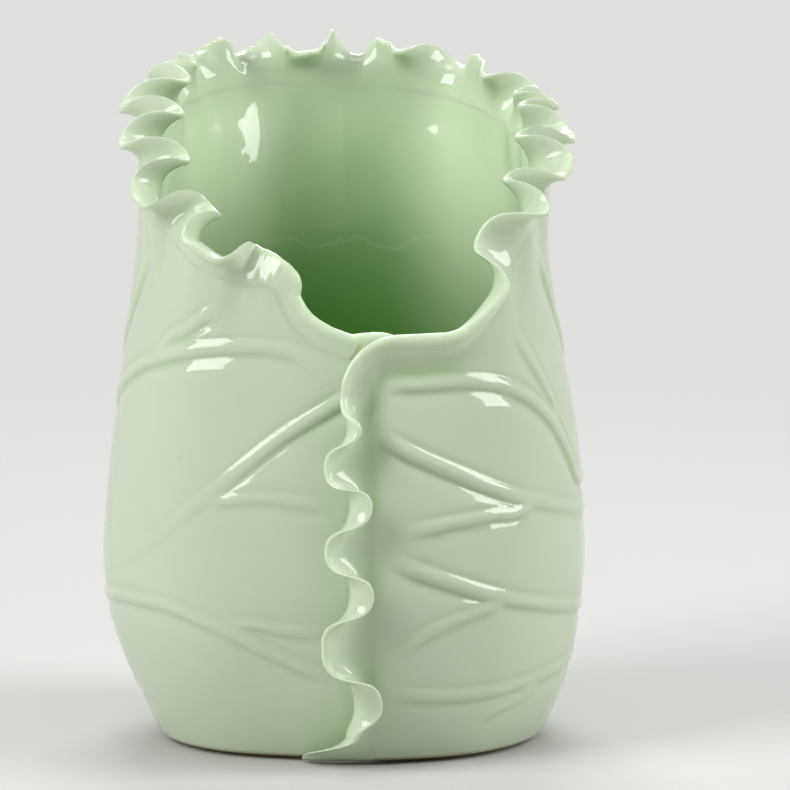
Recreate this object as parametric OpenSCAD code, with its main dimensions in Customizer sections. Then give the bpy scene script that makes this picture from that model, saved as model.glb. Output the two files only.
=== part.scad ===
// Brush holder pot: one lotus leaf of porcelain clay wrapped round a flat base disc and lapped at
// the front. A fluted strip runs along the rim and down the lap, and coils on the outside are the veins.
// Millimetres. The lap faces -Y and the mouth +Z. The origin lies in the middle of the foot.

/* [Leaf body] */
// Width across the foot
foot_w = 75; // [70:0.5:82]
// Width across the belly
belly_w = 97; // [90:0.5:106]
// Height of the widest line
belly_h = 38; // [32:0.5:46]
// Width across the mouth, under the fluted rim
mouth_w = 81; // [75:0.5:90]
// Height at which the neck is down to the mouth's width
neck_h = 118; // [108:0.5:126]
// Depth from front to back, as a share of the width
depth_share = 0.93; // [0.88:0.01:1]
// Power of the rounded plan: 2 is an ellipse, more is squarer
plan_power = 2.3; // [2:0.05:2.8]
// Thickness of the rolled leaf
wall_t = 3.2; // [2.6:0.1:3.8]
// How far the foot sits to the right of the belly
foot_shift = 1.4; // [0:0.1:2]

/* [Rim] */
// Height of the leaf at the low front lip, without its fluting
rim_front_h = 81; // [76:0.5:86]
// Height of the leaf at the back, without its fluting
rim_back_h = 129; // [122:0.5:136]
// Radius of the corner where the lap meets the front lip
corner_r = 6; // [5:0.5:8]

/* [Lap] */
// Angle of the lap's edge, from the front towards the right
seam_angle = 7; // [5:0.5:9]
// Slip layer between the two laps
lap_gap = 0.3; // [0.3:0.05:0.6]

/* [Base] */
// Thickness of the base disc
base_t = 5; // [4:0.5:7]
// Height of the leaf's lower edge above the table
foot_gap = 0.8; // [0.5:0.1:1.2]

/* [Fluting] */
// Width of the fluted strip
frill_w = 10; // [8.5:0.25:11]
// Thickness of its free edge
frill_edge_t = 1.5; // [1.3:0.1:2.2]
// Thickness of the rounder edge along the low front lip
lip_edge_t = 2.5; // [2:0.1:3]

/* [Veins] */
// Width of a vein at its root
vein_w = 3; // [2.6:0.1:3.6]
// Width of a vein at its tip
vein_tip_w = 3.6; // [3:0.1:4.2]
// Height of a vein above the leaf
vein_h = 0.7; // [0.5:0.05:1]
// Slip layer between a vein and the leaf
vein_slip = 0.15; // [0.1:0.05:0.25]

/* [Hidden] */

glaze = [0.72, 0.80, 0.66];
vein_glaze = [0.64, 0.74, 0.57];
bare_clay = [0.86, 0.82, 0.75];

// The leaf is a grid of columns round the pot and rows up it. The lap is the turn's extra columns.
turn_cols = 100;
lap_cols = 6;
cols = turn_cols + lap_cols;
col_step = 360 / turn_cols;
row_steps = 12;
rim_cols = 3;
seam_cols = 4;
rim_steps = 3;
seam_steps = 6;
lap_lift = (wall_t + lap_gap) / 2;
seam_top = rim_front_h - corner_r;
foot_ease = foot_w / 3;
fill_ease = 2.4 * base_t;

// Angle from the front, and the share of the climb from the front lip to the back
rim_line = [
    [0, 0], [26, 0], [32, 0.025], [37, 0.075], [42, 0.145], [47, 0.23], [51, 0.31], [56, 0.42], [64, 0.51],
    [78, 0.63], [96, 0.74], [114, 0.82], [134, 0.91], [160, 0.98], [185, 1], [212, 1], [228, 0.97],
    [242, 0.92], [258, 0.83], [276, 0.73], [287, 0.64], [297, 0.53], [307, 0.44], [318, 0.36],
    [328, 0.305], [334, 0.302], [337, 0.297], [340, 0.268], [341.5, 0.222], [344, 0.162], [347, 0.115],
    [352, 0.058], [357, 0.027], [362, 0.006], [367, 0.01], [372, 0.008], [380, -0.05], [400, -0.12]
];

// Turns of the rim's fluting: angle, lean of the edge (outwards positive), share of the strip's width
rim_turns = [
    [0, 55, 0.7], [10, 50, 0.65], [22, 50, 0.65], [34, 75, 0.72], [46, 98, 0.8], [54, -50, 0.9],
    [61, 92, 1.05], [68.5, -45, 1], [74.5, 90, 1.03], [80, 92, 1.06], [86, -45, 1.05], [91.5, 90, 1.05],
    [98, 95, 1.1], [104.5, -30, 1], [110.5, 78, 1.05], [116.5, -20, 0.9], [122.5, 75, 1], [130, -50, 1],
    [137, -5, 1], [140, 5, 1.04], [142.5, 10, 1], [144.5, 40, 0.9], [148, 95, 1], [162, -57, 1],
    [167, -5, 0.95], [170.5, 5, 1], [173.5, 25, 0.9], [177, 95, 0.95], [180.5, 60, 1], [184.6, 0, 1.14],
    [188.5, -45, 1], [192, -70, 0.95], [197, -75, 0.95], [200, -50, 0.98], [203.8, 5, 1.12],
    [207.5, 60, 1], [210.5, 92, 1], [212.8, 35, 0.9], [214.6, 12, 0.98], [217.5, 5, 1.06],
    [221, 15, 1.02], [227, 62, 1.05], [231.5, -30, 0.8], [237, 88, 1], [245, -65, 1.05], [257, 95, 1],
    [266, -72, 1.1], [276.5, 88, 0.88], [285.5, -82, 1.06], [291.5, 92, 0.86], [297, 95, 0.88],
    [302.5, -85, 1.05], [306.5, -80, 1.05], [316, 92, 0.95], [323.5, 100, 0.85], [331, -55, 0.9],
    [337, -8, 0.6], [339.5, -3, 0.58], [341.5, 0, 0.42], [346, 5, 0.44], [352, 8, 0.5], [362, 8, 0.5],
    [370, 0, 0.5], [400, -5, 0.5]
];

// Turns of the lap's fluting: share of the lap's height, lean of the edge, share of the strip's width
seam_turns = [
    [0.011, -20, 1.4], [0.1, 120, 1.2], [0.187, 184, 1.15], [0.331, 55, 1.2], [0.361, 55, 1.2],
    [0.486, 165, 1.15], [0.598, 55, 1.12], [0.721, 162, 1.1], [0.815, 50, 1.08], [0.918, 132, 1],
    [1, 55, 0.7]
];

function unit(v) = v / norm(v);
function clip(x) = min(max(x, 0), 1);
function ramp(x) = let(c = clip(x)) c * c * (3 - 2 * c);

// Which span of a table holds x, and the value there along a smooth curve or from turn to turn
function span(table, x, i = 0) = i >= len(table) - 2 || x < table[i + 1][0] ? i : span(table, x, i + 1);
function slope(table, i) =
    let(lo = max(i - 1, 0), hi = min(i + 1, len(table) - 1))
    (table[hi][1] - table[lo][1]) / (table[hi][0] - table[lo][0]);
function curve(table, x) =
    let(i = span(table, x), w = table[i + 1][0] - table[i][0], t = clip((x - table[i][0]) / w))
    table[i][1] + (table[i + 1][1] - table[i][1]) * t * t * (3 - 2 * t)
    + w * t * (1 - t) * (slope(table, i) * (1 - t) - slope(table, i + 1) * t);
function turn(table, x, k) =
    let(i = span(table, x), t = (x - table[i][0]) / (table[i + 1][0] - table[i][0]))
    table[i][k] + (table[i + 1][k] - table[i][k]) * ramp(t);

// The leaf's outer face: angle from the front, towards the right, and height
function belly_line(z) =
    z < belly_h
    ? (foot_w + (belly_w - foot_w) * pow(max(sin(90 * z / belly_h), 0), 0.85)) / 2
    : (mouth_w + (belly_w - mouth_w) * (1 + cos(180 * clip((z - belly_h) / (neck_h - belly_h)))) / 2) / 2;
function plan(a) =
    pow(pow(abs(sin(a)), plan_power) + pow(abs(cos(a)) / depth_share, plan_power), -1 / plan_power)
    * (1 + 0.012 * cos(5 * a));
function lap_step(a) = lap_lift * (1 - ramp((a - 32) / 35) - ramp((a - 312) / 32));
function leaf_r(a, z) = belly_line(z) * plan(a) + lap_step(a);
function place(a, r, z) = [r * sin(a) + foot_shift * (1 - ramp((z - base_t) / foot_ease)), -r * cos(a), z];
function face_pt(a, z) = place(a, leaf_r(a, z), z);
function face_dir(a, z) =
    unit(cross(face_pt(a + 1, z) - face_pt(a - 1, z), face_pt(a, z + 1) - face_pt(a, z - 1)));

// Height of the leaf's upper edge, with the rounded corner at the lap
function corner_drop(a) =
    let(q = clip(1 - (a - seam_angle) * PI / 180 * leaf_r(seam_angle, rim_front_h) / corner_r))
    corner_r * (1 - sqrt(1 - q * q));
function rim_h(a) = rim_front_h + (rim_back_h - rim_front_h) * curve(rim_line, a) - corner_drop(a);

// Inside, the leaf stands upright against the base disc and eases out to its even thickness above it
function foot_fill(i, z) =
    i <= lap_cols ? 0
    : z <= base_t ? belly_line(z) - belly_line(foot_gap)
    : (belly_line(base_t) - belly_line(foot_gap)) * (1 - ramp((z - base_t) / fill_ease));
function col_angle(i) = seam_angle + col_step * i;
function row_z(i, j) =
    j == 0 ? foot_gap : base_t + (rim_h(col_angle(i)) - base_t) * (j - 1) / (row_steps - 1);
function outer_pt(i, j) = face_pt(col_angle(i), row_z(i, j));
function inner_pt(i, j) =
    let(a = col_angle(i), z = row_z(i, j))
    place(a, leaf_r(a, z) - wall_t - foot_fill(i, z) * plan(a), z);

// A closed sheet from a grid of outer and a grid of inner points, each [column][row]
module sheet(outer, inner) {
    n = len(outer);
    m = len(outer[0]);
    half = n * m;
    function at(i, j) = i * m + j;
    skin = [for (i = [0:n - 2], j = [0:m - 2]) each [
        [at(i, j), at(i, j + 1), at(i + 1, j + 1)],
        [at(i, j), at(i + 1, j + 1), at(i + 1, j)],
        [half + at(i, j), half + at(i + 1, j + 1), half + at(i, j + 1)],
        [half + at(i, j), half + at(i + 1, j), half + at(i + 1, j + 1)]
    ]];
    ring = concat(
        [for (i = [0:n - 1]) at(i, 0)], [for (j = [1:m - 1]) at(n - 1, j)],
        [for (i = [n - 2:-1:0]) at(i, m - 1)], [for (j = [m - 2:-1:1]) at(0, j)]
    );
    edge = [for (k = [0:len(ring) - 1]) let(p = ring[k], q = ring[(k + 1) % len(ring)]) each [
        [p, q, half + q], [p, half + q, half + p]
    ]];
    polyhedron([for (c = outer) each c, for (c = inner) each c], concat(skin, edge));
}

// One cross-section of the strip: an arc that leaves the leaf's edge and turns by the lean
function between(list, x) = let(i = min(floor(x), len(list) - 2)) list[i] + (list[i + 1] - list[i]) * (x - i);
function strip_pt(o, c, run, lean, width, edge, t, side) =
    let(
        mid = (o + c) / 2, n = unit(o - c), s = unit(cross(n, run)), k = lean * PI / 180,
        ahead = abs(lean) < 1 ? t : sin(lean * t) / k,
        out = abs(lean) < 1 ? 0 : (1 - cos(lean * t)) / k,
        thick = norm(o - c) + (edge - norm(o - c)) * sin(90 * t)
    )
    mid + width * (ahead * s + out * n) + side * thick / 2 * (cos(lean * t) * n - sin(lean * t) * s);
function lip_share(a) =
    ramp((a - seam_angle) / 12) * (1 - ramp((a - 38) / 10)) + ramp((a - 334) / 8);

module base_disc() {
    outline = [for (i = [lap_cols:cols]) let(p = inner_pt(i, 0)) [p[0], p[1]]];
    color(bare_clay) linear_extrude(base_t) polygon(outline);
}

module leaf_wall() {
    color(glaze) sheet(
        [for (i = [0:cols]) [for (j = [0:row_steps]) outer_pt(i, j)]],
        [for (i = [0:cols]) [for (j = [0:row_steps]) inner_pt(i, j)]]
    );
}

module rim_frill() {
    o = [for (i = [0:cols]) outer_pt(i, row_steps)];
    c = [for (i = [0:cols]) inner_pt(i, row_steps)];
    function run(x) = between(o, min(x + 0.5, cols)) - between(o, max(x - 0.5, 0));
    function row(k, t, side) =
        let(
            x = k / rim_cols, a = col_angle(x),
            edge = frill_edge_t + (lip_edge_t - frill_edge_t) * lip_share(a)
        )
        strip_pt(between(o, x), between(c, x), run(x),
            turn(rim_turns, a, 1), frill_w * turn(rim_turns, a, 2), edge, t, side);
    last = cols * rim_cols;
    function grid(side) = [for (k = [0:last]) [for (j = [0:rim_steps]) row(k, j / rim_steps, side)]];
    color(glaze) sheet(grid(1), grid(-1));
}

module seam_frill() {
    o = [for (j = [0:row_steps]) outer_pt(0, j)];
    c = [for (j = [0:row_steps]) inner_pt(0, j)];
    rim_start = outer_pt(1, row_steps) - outer_pt(0, row_steps);
    last = row_steps * seam_cols;
    function row(k, t, side) =
        let(x = k / seam_cols, p = between(o, x), h = p[2] / seam_top)
        strip_pt(p, between(c, x), k == last ? rim_start : [0, 0, 1],
            turn(seam_turns, h, 1), frill_w * turn(seam_turns, h, 2), frill_edge_t, t, side);
    function grid(side) = [for (k = [0:last]) [for (j = [0:seam_steps]) row(k, j / seam_steps, side)]];
    color(glaze) sheet(grid(1), grid(-1));
}

// A vein is a low coil along points of angle and height. The heights rise with the neck and stop short
// of the fluting.
vein_clear = 1.25 * wall_t;
vein_rise = neck_h / 118;
vein_steps = 4;
function path_pt(p, u) =
    let(
        i = min(floor(u), len(p) - 2), t = u - i,
        a = p[max(i - 1, 0)], b = p[i], c = p[i + 1], d = p[min(i + 2, len(p) - 1)]
    )
    b + ((c - a) + ((2 * a - 5 * b + 4 * c - d) + (3 * b - a - 3 * c + d) * t) * t) * t / 2;
function vein_pt(p, u) =
    let(q = path_pt(p, u))
    [q[0], min(vein_rise * q[1], rim_h(q[0]) - vein_clear)];
function vein_ring(p, u, width) =
    let(
        last = len(p) - 1, q = vein_pt(p, u), n = face_dir(q[0], q[1]),
        ahead = vein_pt(p, min(u + 0.1, last)), behind = vein_pt(p, max(u - 0.1, 0)),
        run = face_pt(ahead[0], ahead[1]) - face_pt(behind[0], behind[1]), s = unit(cross(run, n)),
        h = vein_h * (0.35 + 0.65 * ramp(2 * min(u, last - u))), foot = face_pt(q[0], q[1]) + vein_slip * n
    )
    [foot - s * width / 2, foot - s * width / 4 + n * h, foot + s * width / 4 + n * h, foot + s * width / 2];

module coil(p, root_w) {
    n = (len(p) - 1) * vein_steps;
    rings = [for (k = [0:n]) vein_ring(p, k / vein_steps, root_w + (vein_tip_w - root_w) * k / n)];
    sides = [for (k = [0:n - 1], j = [0:3]) let(a = 4 * k + j, b = 4 * k + (j + 1) % 4) each [
        [a, b, b + 4], [a, b + 4, a + 4]
    ]];
    ends = [[3, 2, 1, 0], [4 * n, 4 * n + 1, 4 * n + 2, 4 * n + 3]];
    color(vein_glaze) polyhedron([for (r = rings) each r], concat(sides, ends));
}

module vein(p) {
    coil(p, vein_w);
}

module fork(p) {
    coil(p, 0.8 * vein_w);
}

module vein_right_rim() {
    vein([[170, 50], [145, 62], [115, 71], [92, 78], [78, 87], [70, 96], [66, 100]]);
}

module fork_right_rim() {
    fork([[113, 75.2], [107, 90], [102, 108]]);
}

module vein_right_lip() {
    vein([[166, 46], [140, 50], [110, 52], [88, 53], [76, 54], [70, 59.5], [63, 66], [55, 71], [45.5, 75],
        [35, 76.8], [24, 77], [10, 77]]);
}

module fork_right_lip() {
    fork([[63.5, 70.2], [61.4, 72.6], [54.6, 80], [48.7, 86]]);
}

module vein_right_shoulder() {
    vein([[165, 41], [135, 41], [105, 44], [82, 47], [64, 49.8], [50, 52.5], [40, 55], [28, 59.4],
        [17, 63.6], [9, 67.4]]);
}

module fork_right_shoulder() {
    fork([[44.5, 50.3], [36.8, 50.4], [26.6, 49.5], [14, 47.7]]);
}

module vein_right_belly() {
    vein([[166, 36], [135, 31], [105, 28], [85, 27.5], [66, 29.3], [47, 32.4], [35.4, 35], [27.4, 37.4],
        [19.7, 39.8], [12, 42.4]]);
}

module fork_right_belly() {
    fork([[35, 31.8], [25, 29.4], [18.3, 26.9], [11.5, 23.6]]);
}

module vein_right_foot() {
    vein([[170, 32], [140, 21], [110, 18], [88, 18.3], [73, 17.2], [59.4, 16], [46.8, 14.8], [34.4, 14.3],
        [23.8, 14.5], [11, 15.7]]);
}

module fork_right_foot() {
    fork([[51, 11.9], [45.4, 11], [38, 9.2], [33, 7.6]]);
}

module vein_left_rim() {
    vein([[190, 50], [215, 62], [245, 71], [268, 78], [282, 87], [290, 96], [294, 101]]);
}

module fork_left_rim() {
    fork([[247, 75.2], [254, 90], [259, 108]]);
}

module vein_left_lip() {
    vein([[194, 46], [220, 52], [250, 60], [272, 68], [286, 74], [294.6, 77], [301.7, 79.2],
        [316.5, 82.2], [329.8, 83.4], [344, 83], [354, 79.3]]);
}

module fork_left_lip() {
    fork([[309, 84.2], [313.9, 86], [320.4, 89.4], [326, 91]]);
}

module vein_left_shoulder() {
    vein([[195, 41], [225, 38], [255, 36], [278, 35.5], [291, 37], [305.5, 42.5], [317, 49.3],
        [327, 55.7], [332, 59.1], [344, 66.4], [358, 72.7]]);
}

module fork_left_shoulder() {
    fork([[329.5, 53.2], [338.9, 54.1], [349.7, 53.4], [359, 52.7]]);
}

module vein_left_belly() {
    vein([[194, 36], [225, 31], [255, 29], [278, 30], [290.7, 31.3], [302.6, 31.8], [314.6, 31.2],
        [327.8, 27.8], [338.2, 23.9], [348.7, 20.3], [358, 17.3]]);
}

module fork_left_belly() {
    fork([[335, 28.9], [341.9, 28.1], [350, 27.7], [357, 27.6]]);
}

module vein_left_foot() {
    vein([[190, 32], [220, 21], [250, 15], [280, 12], [298, 11]]);
}

module vein_back_right() {
    vein([[176, 53], [169, 74], [160, 92], [147, 108], [141, 117]]);
}

module fork_back_right() {
    fork([[162.2, 96.8], [165, 109], [166, 120]]);
}

module vein_back_left() {
    vein([[184, 53], [191, 74], [200, 92], [213, 108], [219, 117]]);
}

module fork_back_left() {
    fork([[197.8, 96.8], [195, 109], [194, 120]]);
}

module vein_back_foot() {
    vein([[180, 28], [176, 16], [165, 8]]);
}

module fork_back_foot() {
    fork([[182, 18], [186, 13], [195, 8]]);
}

base_disc();
leaf_wall();
rim_frill();
seam_frill();
vein_right_rim();
fork_right_rim();
vein_right_lip();
fork_right_lip();
vein_right_shoulder();
fork_right_shoulder();
vein_right_belly();
fork_right_belly();
vein_right_foot();
fork_right_foot();
vein_left_rim();
fork_left_rim();
vein_left_lip();
fork_left_lip();
vein_left_shoulder();
fork_left_shoulder();
vein_left_belly();
fork_left_belly();
vein_left_foot();
vein_back_right();
fork_back_right();
vein_back_left();
fork_back_left();
vein_back_foot();
fork_back_foot();
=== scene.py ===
import math

import bpy
import numpy as np
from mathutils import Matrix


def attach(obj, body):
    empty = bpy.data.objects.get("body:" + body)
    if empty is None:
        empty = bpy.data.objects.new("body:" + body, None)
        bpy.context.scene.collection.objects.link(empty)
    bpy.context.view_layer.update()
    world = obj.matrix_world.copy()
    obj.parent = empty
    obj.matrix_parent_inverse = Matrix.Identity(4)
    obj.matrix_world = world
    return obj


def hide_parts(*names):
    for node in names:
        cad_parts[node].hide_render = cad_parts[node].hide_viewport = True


# Leaf-shaped porcelain brush pot. Lengths below are in mm and become metres when a mesh is made.
# Angles run round the pot from the front lap (-Y) towards the right (+X).
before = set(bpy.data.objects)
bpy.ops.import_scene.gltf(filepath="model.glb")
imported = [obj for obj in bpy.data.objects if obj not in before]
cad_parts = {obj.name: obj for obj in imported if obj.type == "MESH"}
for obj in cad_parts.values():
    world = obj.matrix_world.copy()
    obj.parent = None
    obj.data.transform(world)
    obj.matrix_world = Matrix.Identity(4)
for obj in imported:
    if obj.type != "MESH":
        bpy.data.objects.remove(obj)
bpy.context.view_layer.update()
millimetre = 0.001
scene = bpy.context.scene
print("frame loaded:", len(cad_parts), "solids")


def hexLinear(code):
    # sRGB hex to the linear colour that the shader wants
    out = []
    for k in (1, 3, 5):
        c = int(code[k:k + 2], 16) / 255
        out.append(c / 12.92 if c <= 0.04045 else ((c + 0.055) / 1.055) ** 2.4)
    return (*out, 1)


def addNode(tree, kind, settings=None, inputs=None):
    node = tree.nodes.new(kind)
    for key, value in (settings or {}).items():
        setattr(node, key, value)
    for key, value in (inputs or {}).items():
        if isinstance(value, bpy.types.NodeSocket):
            tree.links.new(value, node.inputs[key])
        else:
            node.inputs[key].default_value = value
    return node


def seenDirectly(tree):
    # 1 for what the camera sees, straight or in a reflection
    path = addNode(tree, "ShaderNodeLightPath").outputs
    glossy = addNode(tree, "ShaderNodeMath", {"operation": "MAXIMUM"}, {
        0: path["Is Glossy Ray"], 1: path["Is Transmission Ray"]})
    return addNode(tree, "ShaderNodeMath", {"operation": "MAXIMUM"}, {
        0: path["Is Camera Ray"], 1: glossy.outputs[0]}).outputs[0]


def newMaterial(name):
    material = bpy.data.materials.new(name)
    material.use_nodes = True
    tree = material.node_tree
    tree.nodes.clear()
    return material, tree


def sine(a):
    return np.sin(np.radians(a))


def cosine(a):
    return np.cos(np.radians(a))


def ramp(x):
    c = np.clip(x, 0, 1)
    return c * c * (3 - 2 * c)


def within(x, start, end, soft):
    # 1 between start and end, eased over soft at both
    return ramp((x - start) / soft) * ramp((end - x) / soft)


def unit(v):
    return v / np.linalg.norm(v, axis=-1, keepdims=True)


def spanOf(table, x):
    i = np.clip(np.searchsorted(table[:, 0], x, side="right") - 1, 0, len(table) - 2)
    return i, np.clip((x - table[i, 0]) / (table[i + 1, 0] - table[i, 0]), 0, 1)


def curveAt(table, x):
    # smooth curve through the table's points
    table = np.array(table, float)
    i, t = spanOf(table, x)
    last = len(table) - 1
    lo, hi = np.maximum(np.arange(last + 1) - 1, 0), np.minimum(np.arange(last + 1) + 1, last)
    slope = (table[hi, 1] - table[lo, 1]) / (table[hi, 0] - table[lo, 0])
    w = table[i + 1, 0] - table[i, 0]
    rise = (table[i + 1, 1] - table[i, 1]) * t * t * (3 - 2 * t)
    return table[i, 1] + rise + w * t * (1 - t) * (slope[i] * (1 - t) - slope[i + 1] * t)


def turnAt(table, x, column):
    # eases from one turn of the fluting to the next
    table = np.array(table, float)
    i, t = spanOf(table, x)
    return table[i, column] + (table[i + 1, column] - table[i, column]) * ramp(t)


# The rolled leaf: sizes of the slab
leaf = {
    "footWidth": 75, "bellyWidth": 97, "bellyHeight": 38, "mouthWidth": 81, "neckHeight": 118,
    "bellyPower": 0.85, "depthShare": 0.93, "planPower": 2.3, "planWave": 0.012, "wall": 3.2,
    "footShift": 1.4, "shiftReach": 25,     # the foot stands a little to the right of the belly
    "rimFront": 81, "rimBack": 129, "cornerRadius": 6,
    "seamAngle": 7, "lapEnd": 388.6, "lapOver": 21.7, "lapGap": 0.3, "baseThick": 5, "footGap": 0.8,
    "liftEnd": 32, "liftFade": 35, "sinkStart": 312, "sinkFade": 32,    # the lap lies on the other end
    "fillFade": 12,         # height over which the upright inside at the base runs out
    "thinBy": 2.4, "thinSpan": 9, "thinStart": 7, "thinFade": 6,        # thinner at the end of the lap
    "footRound": 1.0,       # radius of the lower outer edge
    "cornerColumns": 24, "columns": 521, "rows": 162, "innerEvery": 3, "innerColumns": 2,
    "frontShare": 0.8, "frontAngle": 95, "frontFade": 25,   # columns stand closer on the front half
}

# angle, share of the climb from the front lip to the back
rimLine = [
    [0, 0], [26, 0], [32, 0.025], [37, 0.075], [42, 0.145], [47, 0.23], [51, 0.31], [56, 0.42], [64, 0.51],
    [78, 0.63], [96, 0.74], [114, 0.82], [134, 0.91], [160, 0.98], [185, 1], [212, 1], [228, 0.97],
    [242, 0.92], [258, 0.83], [276, 0.73], [287, 0.64], [297, 0.53], [307, 0.44], [318, 0.36],
    [328, 0.305], [334, 0.302], [337, 0.297], [340, 0.268], [341.5, 0.222], [344, 0.162], [347, 0.115],
    [352, 0.058], [357, 0.027], [362, 0.006], [367, 0.01], [372, 0.008], [380, -0.05], [400, -0.12],
]

# angle, lean of the edge (outwards positive), share of the strip's width
rimTurns = [
    [0, 55, 0.7], [10, 50, 0.65], [22, 50, 0.65], [34, 75, 0.72], [46, 98, 0.8], [54, -50, 0.9],
    [61, 92, 1.05], [68.5, -45, 1], [74.5, 90, 1], [77.2, 92, 1.05], [80, 90, 1.05], [86, -45, 1.05],
    [91.5, 93, 1.07], [94.5, 94, 1.03], [98, 90, 0.96], [104.5, -30, 1], [110.5, 78, 1.05], [116.5, -20, 0.9],
    [122.5, 75, 1], [130, -50, 1],
    [137, -5, 1], [140, 5, 1.04], [142.5, 10, 1], [144.5, 40, 0.9], [148, 95, 1], [162, -57, 1],
    [167, -5, 0.95], [170.5, 5, 1], [173.5, 25, 0.9], [177, 95, 0.95], [180.5, 60, 1], [184.6, 0, 1.14],
    [188.5, -45, 1], [192, -70, 0.95], [197.5, -75, 0.93], [201, -55, 0.94], [203.8, 5, 1.06],
    [206.6, 72, 0.97], [210.5, 98, 1], [213, 45, 0.85], [215, 12, 0.96], [218.5, 3, 1.06],
    [222, 22, 0.98], [224.5, 60, 0.9], [228, 50, 1.02], [232, -25, 0.82], [237, 88, 1],
    [245, -65, 1.05], [257, 95, 1], [266, -72, 1.1], [276.5, 88, 0.88], [285.5, -82, 1.06],
    [291.5, 90, 0.83], [294.2, 96, 0.91], [297, 93, 0.84],
    [302.5, -85, 1.05], [306.5, -80, 1.05], [316, 92, 0.95], [323.5, 98, 0.85], [330, -50, 0.85],
    [334, -32, 0.72], [338, -6, 0.6], [339.5, -3, 0.58], [341.5, 0, 0.42], [346, 5, 0.44],
    [352, 8, 0.5], [362, 8, 0.5], [370, 0, 0.5], [400, -5, 0.5],
]

# share of the lap's height, lean of the edge, share of the strip's width
seamTurns = [
    [0.011, -20, 1.4], [0.1, 120, 1.2], [0.187, 184, 1.15], [0.331, 55, 1.2], [0.361, 55, 1.2],
    [0.486, 165, 1.15], [0.598, 55, 1.12], [0.721, 162, 1.1], [0.815, 50, 1.08], [0.918, 132, 1],
    [1, 55, 0.7],
]


def bellyLine(z):
    low = sine(90 * np.clip(z / leaf["bellyHeight"], 0, 1)) ** leaf["bellyPower"]
    high = np.clip((z - leaf["bellyHeight"]) / (leaf["neckHeight"] - leaf["bellyHeight"]), 0, 1)
    lower = leaf["footWidth"] + (leaf["bellyWidth"] - leaf["footWidth"]) * low
    upper = leaf["mouthWidth"] + (leaf["bellyWidth"] - leaf["mouthWidth"]) * (1 + cosine(180 * high)) / 2
    return np.where(z < leaf["bellyHeight"], lower, upper) / 2


def plan(a):
    p = leaf["planPower"]
    oval = (np.abs(sine(a)) ** p + (np.abs(cosine(a)) / leaf["depthShare"]) ** p) ** (-1 / p)
    return oval * (1 + leaf["planWave"] * cosine(5 * a))        # slightly five-sided


def leafRadius(a, z):
    lift = (leaf["wall"] + leaf["lapGap"]) / 2
    over = 1 - ramp((a - leaf["liftEnd"]) / leaf["liftFade"])
    return bellyLine(z) * plan(a) + lift * (over - ramp((a - leaf["sinkStart"]) / leaf["sinkFade"]))


def place(a, r, z):
    shift = leaf["footShift"] * (1 - ramp((z - leaf["baseThick"]) / leaf["shiftReach"]))
    return np.stack([r * sine(a) + shift, -r * cosine(a), z + 0 * a], -1)


def cornerSpan():
    return leaf["cornerRadius"] / leafRadius(leaf["seamAngle"], leaf["rimFront"]) * 180 / math.pi


def rimHeight(a):
    q = np.clip(1 - (a - leaf["seamAngle"]) / cornerSpan(), 0, 1)
    drop = leaf["cornerRadius"] * (1 - np.sqrt(1 - q * q))
    return leaf["rimFront"] + (leaf["rimBack"] - leaf["rimFront"]) * curveAt(rimLine, a) - drop


# The veins: points of angle and height. A fork grows out of the vein of the same name.
vein = {
    "rootWidth": 3.0, "tipWidth": 3.6, "rise": 0.4, "groove": 0.3, "grooveWidth": 0.55, "grooveSpread": 0.9,
    "dip": 0.42, "dipSpread": 2.4,      # the wide hollow along the lower side
    "blend": 0.4,           # how softly two veins run together
    "grow": 0.35,           # share of its length over which a vein grows
    "rootFade": 6, "tipFade": 8, "tipLeft": 0.1,    # how it comes up at its root and dies away at its tip
    "forkWidth": 0.8, "forkBack": 8,    # share of the stem's width, and steps that it starts back on the stem
    "crestPower": 1.15, "upperGroove": 0.55,
    "aside": 6, "under": 8, "above": 5, "most": 6,  # how far from its line a vein still counts
    "perDegree": 0.8,       # mm along the wall for one degree
    "clear": 4, "steps": 20,
}
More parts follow.
